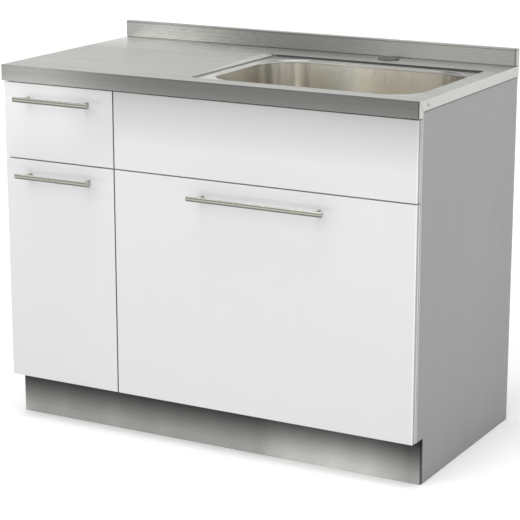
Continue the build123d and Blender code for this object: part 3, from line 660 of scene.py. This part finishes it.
# %% [markdown]
# ## Finish: gloss white fronts
#
# Each front is a board under a high gloss film. A plain white gloss looks like a light box. Real film has a
# slight waviness, which bends what it mirrors, and faint wipe marks. A front's right side gets a painted grey
# shade, and its softened edges a painted highlight line. The worktop overhangs the fronts, so the fixed front
# gets a painted shade near its top, and all fronts a painted shade a little darker towards the floor. The
# drawers at the left get painted light near their top and those at the right painted shade, so a film has a
# top tone for each side of the unit.

# %% Gloss film
def painted_side_shade(tree):
    """One on the right edge of a front, from its face to 10 mm behind it, where a grey shade is painted."""
    band_end, blur = front_low.y + 10 * mm, 0.3 * mm
    return multiply(tree, faces(tree, to_right, 0.6, 0.9), along_axis(tree, "Y", band_end, band_end - blur))


def painted_edge_highlight(tree):
    """One along the rounded edges of a front's face, and on the strip at the unit's right end, where a
    highlight is painted.
    """
    edge = place(tree, edge_wear_and_highlight, {"Breakup": 20.0, "Strength": 1.0, "Radius": 2.5 * mm})["Edge"]
    at_end = along_axis(tree, "X", front_high.x - 3 * mm, front_high.x - 2.6 * mm)
    return multiply(tree, math_node(tree, "MAXIMUM", edge, at_end), faces(tree, to_front, 0.3, 0.6))


def gloss_film(name, reach, left_tone, right_tone):
    """reach is how far down the painted top light and shade comes. The tones are its factors at the unit's
    left and right.
    """
    material, tree, shader = start_material(name, Coat_Weight=0.6, Coat_Roughness=0.04, IOR=1.45)
    marks = place(tree, handling_marks, {"Size": 5.0, "Amount": 0.5})
    # grey is a painted shade for a front's right side, and lit a painted highlight for its edges.
    white, grey, lit = (0.79, 0.79, 0.795, 1.0), (0.33, 0.33, 0.335, 1.0), (0.93, 0.93, 0.935, 1.0)
    film = blend_colors(tree, painted_side_shade(tree), white, grey)
    film = blend_colors(tree, painted_edge_highlight(tree), film, lit)
    # Painted light and shade near the top of the fronts, and a painted shade towards the floor.
    at_top = along_axis(tree, "Z", front_high.z - reach, front_high.z)
    columns_from, columns_to = top_low.x + 150 * mm, top_low.x + 280 * mm
    top_light_and_shade = along_axis(tree, "X", columns_from, columns_to, left_tone - 1.0, right_tone - 1.0)
    painted_top_shade = math_node(tree, "ADD", 1.0, multiply(tree, at_top, top_light_and_shade))
    foot = drawer_front_low.z
    painted_foot_shade = along_axis(tree, "Z", foot, foot + 450 * mm, 0.91, 1.0)
    tone = place(tree, slow_tone, {"Cells": (1.6, 1.6, 1.6), "Low": 0.985, "High": 1.0})["Tone"]
    film = scaled(tree, film, multiply(tree, painted_top_shade, painted_foot_shade, tone))
    tree.links.new(film, shader.inputs["Base Color"])
    tree.links.new(between(tree, marks["Marks"], 0.10, 0.22), shader.inputs["Roughness"])
    bump(tree, shader, texture_of(tree, (26.0, 26.0, 26.0)), 0.02 * mm)
    return material


wear_it(gloss_film("gloss_white", 175 * mm, 1.16, 0.86), *ends_with("drawer_front"))
wear_it(gloss_film("gloss_white_fixed", 115 * mm, 0.68, 0.68), "sink_front")
print("film on fronts")

# %% [markdown]
# ## Finish: laminated boards
#
# The outer sides are grey laminate with a fine upright streak. The boards inside are pale melamine and
# the back is paper faced. One function makes them all, with other colours and pores.

# %% Laminate
def laminate(name, light, dark, cells, roughness, tone_span=0.03):
    material, tree, shader = start_material(name, IOR=1.45)
    pores = texture_of(tree, cells)
    tone = place(tree, slow_tone, {"Cells": (3.0, 3.0, 1.0), "Low": 1.0 - tone_span, "High": 1.0 + tone_span})
    marks = place(tree, handling_marks, {"Size": 4.0, "Amount": 0.4})
    colour = scaled(tree, blend_colors(tree, pores, dark, light), tone["Tone"])
    tree.links.new(colour, shader.inputs["Base Color"])
    tree.links.new(between(tree, marks["Marks"], roughness, roughness + 0.12), shader.inputs["Roughness"])
    bump(tree, shader, pores, 0.03 * mm)
    return material, tree, shader


melamine, _, _ = laminate(
    "pale_melamine", (0.74, 0.735, 0.72, 1.0), (0.70, 0.695, 0.68, 1.0), (300.0, 300.0, 300.0), 0.5)
box_melamine, _, _ = laminate(
    "box_melamine", (0.78, 0.775, 0.765, 1.0), (0.74, 0.735, 0.72, 1.0), (20.0, 300.0, 300.0), 0.48)
back_paper, _, _ = laminate(
    "back_paper", (0.70, 0.685, 0.64, 1.0), (0.64, 0.625, 0.58, 1.0), (160.0, 160.0, 40.0), 0.65,
    tone_span=0.05)
box_boards = ends_with("_box_sides", "_box_back", "_box_base")
inner_boards = ["partition_panel", "base_panel", "wall_rail", "front_rail", "drawer_divider_rail",
                "sink_cross_rail", "plinth_rear_rail"]
wear_it(melamine, *inner_boards)
wear_it(box_melamine, *box_boards)
wear_it(back_paper, "back_panel")
print("melamine on", len(inner_boards) + len(box_boards), "boards")

# %% [markdown]
# ## The side panels
#
# A side panel ends in a pale edge band at the front and at the rear, which shows as a thin bright line. A
# painted shadow line runs under the worktop's skirt, and a painted shade makes the board a little darker
# towards the floor.

# %% Side panels
def side_laminate():
    material, tree, shader = laminate(
        "grey_laminate", (0.378, 0.378, 0.382, 1.0), (0.358, 0.358, 0.362, 1.0), (40.0, 40.0, 1.2), 0.42)
    front_band = along_axis(tree, "Y", side_low.y + 3.6 * mm, side_low.y + 4.0 * mm, 1.0, 0.0)
    rear_band = along_axis(tree, "Y", side_high.y - 3.0 * mm, side_high.y - 2.6 * mm, 0.0, 0.8)
    bands = math_node(tree, "MAXIMUM", front_band, rear_band)
    band_tone = (0.68, 0.68, 0.685, 1.0)
    banded = blend_colors(tree, bands, base_of(shader), band_tone)
    # Painted shadow line under the skirt and painted shade towards the floor.
    under_skirt_shadow = along_axis(tree, "Z", skirt_low - 3.6 * mm, skirt_low - 3.0 * mm, 1.0, 0.36)
    painted_low_shade = along_axis(tree, "Z", side_low.z, side_high.z, 0.84, 1.0)
    banded = scaled(tree, banded, multiply(tree, under_skirt_shadow, painted_low_shade))
    tree.links.new(banded, shader.inputs["Base Color"])
    return material


wear_it(side_laminate(), "side_panel_left", "side_panel_right")
print("laminate on sides")

# %% [markdown]
# ## Finish: chipboard
#
# The board under the worktop is raw chipboard. Pressed wood flakes lie flat in it, each with its own tone.
# A noise would blur them, so the cells of a Voronoi texture, flattened in height, stand for the flakes,
# and a fine texture adds the dark fibres between them.

# %% Chipboard
def chipboard():
    material, tree, shader = start_material("chipboard", Roughness=0.8)
    flat_cells = in_cells(tree, (170.0, 170.0, 620.0))
    flakes = add(tree, "ShaderNodeTexVoronoi", {"Vector": flat_cells, "Scale": 1.0})
    chip = add(tree, "ShaderNodeSeparateColor", {0: flakes.outputs["Color"]}).outputs[0]
    fibres = multiply(tree, texture_of(tree, (300.0, 300.0, 900.0)), 0.35)
    brown, straw, fibre = (0.36, 0.25, 0.15, 1.0), (0.62, 0.49, 0.33, 1.0), (0.24, 0.16, 0.09, 1.0)
    wood = blend_colors(tree, chip, brown, straw)
    tree.links.new(blend_colors(tree, fibres, wood, fibre), shader.inputs["Base Color"])
    bump(tree, shader, flakes.outputs["Distance"], 0.4 * mm, 0.6)
    return material


wear_it(chipboard(), "worktop_board", "worktop_front_batten")
print("chipboard under the worktop")

# %% [markdown]
# ## Finish: moulded plastic
#
# The trap, its insert and the spigot are pale moulded plastic, the nuts dark. Moulded plastic has an even,
# fine skin and soft shine, and edges that rub pale.

# %% Plastic
def moulded(name, colour, rubbed, roughness):
    material, tree, shader = start_material(name, IOR=1.5)
    skin = texture_of(tree, (900.0, 900.0, 900.0))
    tone = place(tree, slow_tone, {"Cells": (14.0, 14.0, 14.0), "Low": 0.95, "High": 1.03})
    edge = place(tree, edge_wear_and_highlight, {"Breakup": 150.0, "Strength": 0.5})
    base = blend_colors(tree, edge["Edge"], scaled(tree, colour, tone["Tone"]), rubbed)
    tree.links.new(base, shader.inputs["Base Color"])
    tree.links.new(between(tree, skin, roughness - 0.06, roughness + 0.06), shader.inputs["Roughness"])
    bump(tree, shader, skin, 0.02 * mm)
    return material


pale_plastic = moulded("pale_plastic", (0.74, 0.74, 0.72), (0.85, 0.85, 0.84, 1.0), 0.42)
dark_plastic = moulded("dark_plastic", (0.045, 0.046, 0.05), (0.12, 0.12, 0.125, 1.0), 0.45)
wear_it(pale_plastic, "trap_body", "outlet_spigot", "trap_insert")
wear_it(dark_plastic, "waste_locknut", "outlet_nut")
print("plastics placed")

# %% [markdown]
# ## Soft edges on the boards
#
# A board sawn dead square looks like a drawing. Real edges carry a radius from the edge band. The shape
# stays as it is, and a Bevel modifier rounds what is shown. The imported meshes have loose corners, so a
# Weld modifier joins them first.

# %% Round the board edges
def soften(names, width):
    for name in names:
        piece = nodes[name]
        weld = piece.modifiers.new("weld", "WELD")
        weld.merge_threshold = 0.02 * mm
        edge = piece.modifiers.new("edge radius", "BEVEL")
        edge.width = width
        edge.segments = 2
        edge.limit_method = "ANGLE"
        edge.angle_limit = math.radians(40)
        edge.harden_normals = True


boards = ["side_panel_left", "side_panel_right", "plinth_board", *inner_boards, *box_boards]
soften(boards, 0.6 * mm)
print("softened", len(boards), "boards")

# %% [markdown]
# ## The floor
#
# The floor could be a lit backdrop of its own. A plain pale sheet is enough: it takes the soft shadow
# under the unit and throws light back on the fronts. Such a sheet comes out light grey, so a weak glow
# lifts it to white for the camera and in mirrored and see-through views alone. Surfaces aren't lit by the
# glow, and the shadow stays. The floor is part of the stage, not of the unit.

# %% Floor
def flat_sheet(name, half, z):
    mesh = bpy.data.meshes.new(name)
    grid = bmesh.new()
    bmesh.ops.create_grid(grid, x_segments=8, y_segments=8, size=half)
    bmesh.ops.translate(grid, verts=grid.verts, vec=(0, 0, z))
    grid.to_mesh(mesh)
    grid.free()
    sheet = bpy.data.objects.new(name, mesh)
    bpy.context.scene.collection.objects.link(sheet)
    return sheet


def in_mirrors(tree, path):
    """One for rays that mirror or pass through a piece, from the outputs of a Light Path node."""
    return math_node(tree, "MAXIMUM", path["Is Glossy Ray"], path["Is Transmission Ray"])


def floor_paint(glow):
    material, tree, shader = start_material("floor_paint", Roughness=0.9, Specular_IOR_Level=0.0)
    tone = place(tree, slow_tone, {"Cells": (0.7, 0.7, 0.7), "Low": 0.985, "High": 1.0})
    tree.links.new(scaled(tree, (0.97, 0.97, 0.97), tone["Tone"]), shader.inputs["Base Color"])
    path = add(tree, "ShaderNodeLightPath").outputs
    seen = math_node(tree, "MAXIMUM", path["Is Camera Ray"], in_mirrors(tree, path))
    tree.links.new(multiply(tree, seen, glow), shader.inputs["Emission Strength"])
    shader.inputs["Emission Color"].default_value = (1.0, 1.0, 1.0, 1.0)
    return material


floor = flat_sheet("floor", 40.0, -0.5 * mm)
floor.data.materials.append(floor_paint(glow=0.15))
print("floor laid")

# %% [markdown]
# ## The world
#
# What stands round the unit shows in its steel. A photographed room could be wrapped round it, but plain
# levels are enough here: white for the camera, white walls under a dimmer ceiling for reflections, and a
# dim even light for all other surfaces.

# %% World
def make_world(dim, ceiling):
    world = bpy.data.worlds.new("studio")
    bpy.context.scene.world = world
    world.use_nodes = True
    tree = world.node_tree
    tree.nodes.clear()
    path = add(tree, "ShaderNodeLightPath").outputs
    towards = add(tree, "ShaderNodeTexCoord").outputs["Generated"]
    up = add(tree, "ShaderNodeSeparateXYZ", {0: towards}).outputs["Z"]
    room = remap(tree, up, 0.45, 0.75, 1.0, ceiling)
    lit = blend_values(tree, in_mirrors(tree, path), dim, room)
    level = math_node(tree, "MAXIMUM", path["Is Camera Ray"], lit)
    white = add(tree, "ShaderNodeBackground", {"Color": (1.0, 1.0, 1.0, 1.0), "Strength": level})
    add(tree, "ShaderNodeOutputWorld", {"Surface": white.outputs[0]})


make_world(dim=0.32, ceiling=0.75)
print("world made")

# %% [markdown]
# ## Light
#
# A studio for pale furniture is nearly all soft light. Three suns with wide discs give it: one from above
# leaves the soft shade under the worktop, one at the front left fills the fronts, and a weak one lights the
# right side. A sun lights the floor far behind as brightly as the floor near by, and these don't show in
# reflections. Steel needs something bright to mirror, which would wash out the white fronts. So flat lamps
# stand where the steel mirrors them, and light linking lets each light only its own pieces: one strip for
# the apron, two for the upstand, and a wide one over the bowl and handles.

# %% Suns
def soft_sun(name, azimuth, elevation, spread_angle, strength):
    """A sun seen from the unit at that azimuth, 0 at the front and 90 at the right, in degrees."""
    lamp = bpy.data.lights.new(name, "SUN")
    lamp.energy = strength
    lamp.angle = math.radians(spread_angle)
    holder = bpy.data.objects.new(name, lamp)
    bpy.context.scene.collection.objects.link(holder)
    a, e = math.radians(azimuth), math.radians(elevation)
    towards = Vector((math.sin(a) * math.cos(e), -math.cos(a) * math.cos(e), math.sin(e)))
    holder.rotation_euler = towards.to_track_quat("Z", "Y").to_euler()
    holder.location = towards * 4.0
    holder.visible_glossy = False


soft_sun("ceiling_lamp", azimuth=0, elevation=82, spread_angle=30, strength=1.50)
soft_sun("front_lamp", azimuth=-20, elevation=35, spread_angle=60, strength=1.10)
soft_sun("right_lamp", azimuth=95, elevation=30, spread_angle=60, strength=0.35)
print("suns placed")

# %% Linked lamps
def linked_lamp(name, stands_at, width, height, radiance, pieces):
    """A lamp with a flat front, turned to the worktop, that lights only some pieces."""
    lamp = bpy.data.lights.new(name, "AREA")
    lamp.shape = "RECTANGLE"
    lamp.size, lamp.size_y = width, height
    lamp.energy = radiance * math.pi * width * height
    holder = bpy.data.objects.new(name, lamp)
    bpy.context.scene.collection.objects.link(holder)
    holder.location = stands_at
    from_worktop = Vector(stands_at) - Vector((0.0, 0.0, top_high.z))
    holder.rotation_euler = from_worktop.to_track_quat("Z", "Y").to_euler()
    holder.visible_camera = False
    lit = bpy.data.collections.new(name)
    for piece in pieces:
        lit.objects.link(nodes[piece])
    holder.light_linking.receiver_collection = lit


def strip(name, x, width, radiance, pieces):
    """An upright strip in front of the unit, at the left."""
    strip_y, strip_z, strip_height = -3.7, 1.8, 1.8
    linked_lamp(name, (x, strip_y, strip_z), width, strip_height, radiance, pieces)


strip("apron_strip", x=-2.96, width=0.36, radiance=9.5, pieces=["worktop", "apron_end_caps"])
strip("upstand_left_strip", x=-2.98, width=0.24, radiance=4.4, pieces=["upstand"])
strip("upstand_right_strip", x=-1.32, width=0.90, radiance=2.75, pieces=["upstand"])
overhead_pieces = ["sink_bowl", "waste_flange", "strainer_basket", "waste_lid",
                   *ends_with("_handle_bar", "_handle_posts")]
linked_lamp("overhead_lamp", (0.22, -0.6, 3.0), width=2.4, height=2.4, radiance=1.4, pieces=overhead_pieces)
print("linked lamps placed")

# %% [markdown]
# ## Camera
#
# The camera stands in front of the unit and to its right, above the worktop's height, and looks down. Its
# place was found by fitting the unit's known corners to the picture. The picture was taken with a level
# camera and a lens shifted far down, which keeps uprights parallel. A shift stays on when the camera moves
# to another side and would push the unit out of view there, so this camera is tilted instead.

# %% Camera
def set_camera(stands_at, turn, tilt, lens):
    data = bpy.data.cameras.new("camera")
    data.sensor_width = 36.0
    data.lens = lens
    camera = bpy.data.objects.new("camera", data)
    bpy.context.scene.collection.objects.link(camera)
    camera.location = stands_at
    camera.rotation_euler = (math.radians(90 - tilt), 0.0, math.radians(turn))
    bpy.context.scene.camera = camera


set_camera((2.1007, -3.7927, 1.5133), turn=28.861, tilt=14.495, lens=132.4)
bpy.context.scene.view_settings.view_transform = "Standard"
print("camera set")

# %% Last update
bpy.context.view_layer.update()
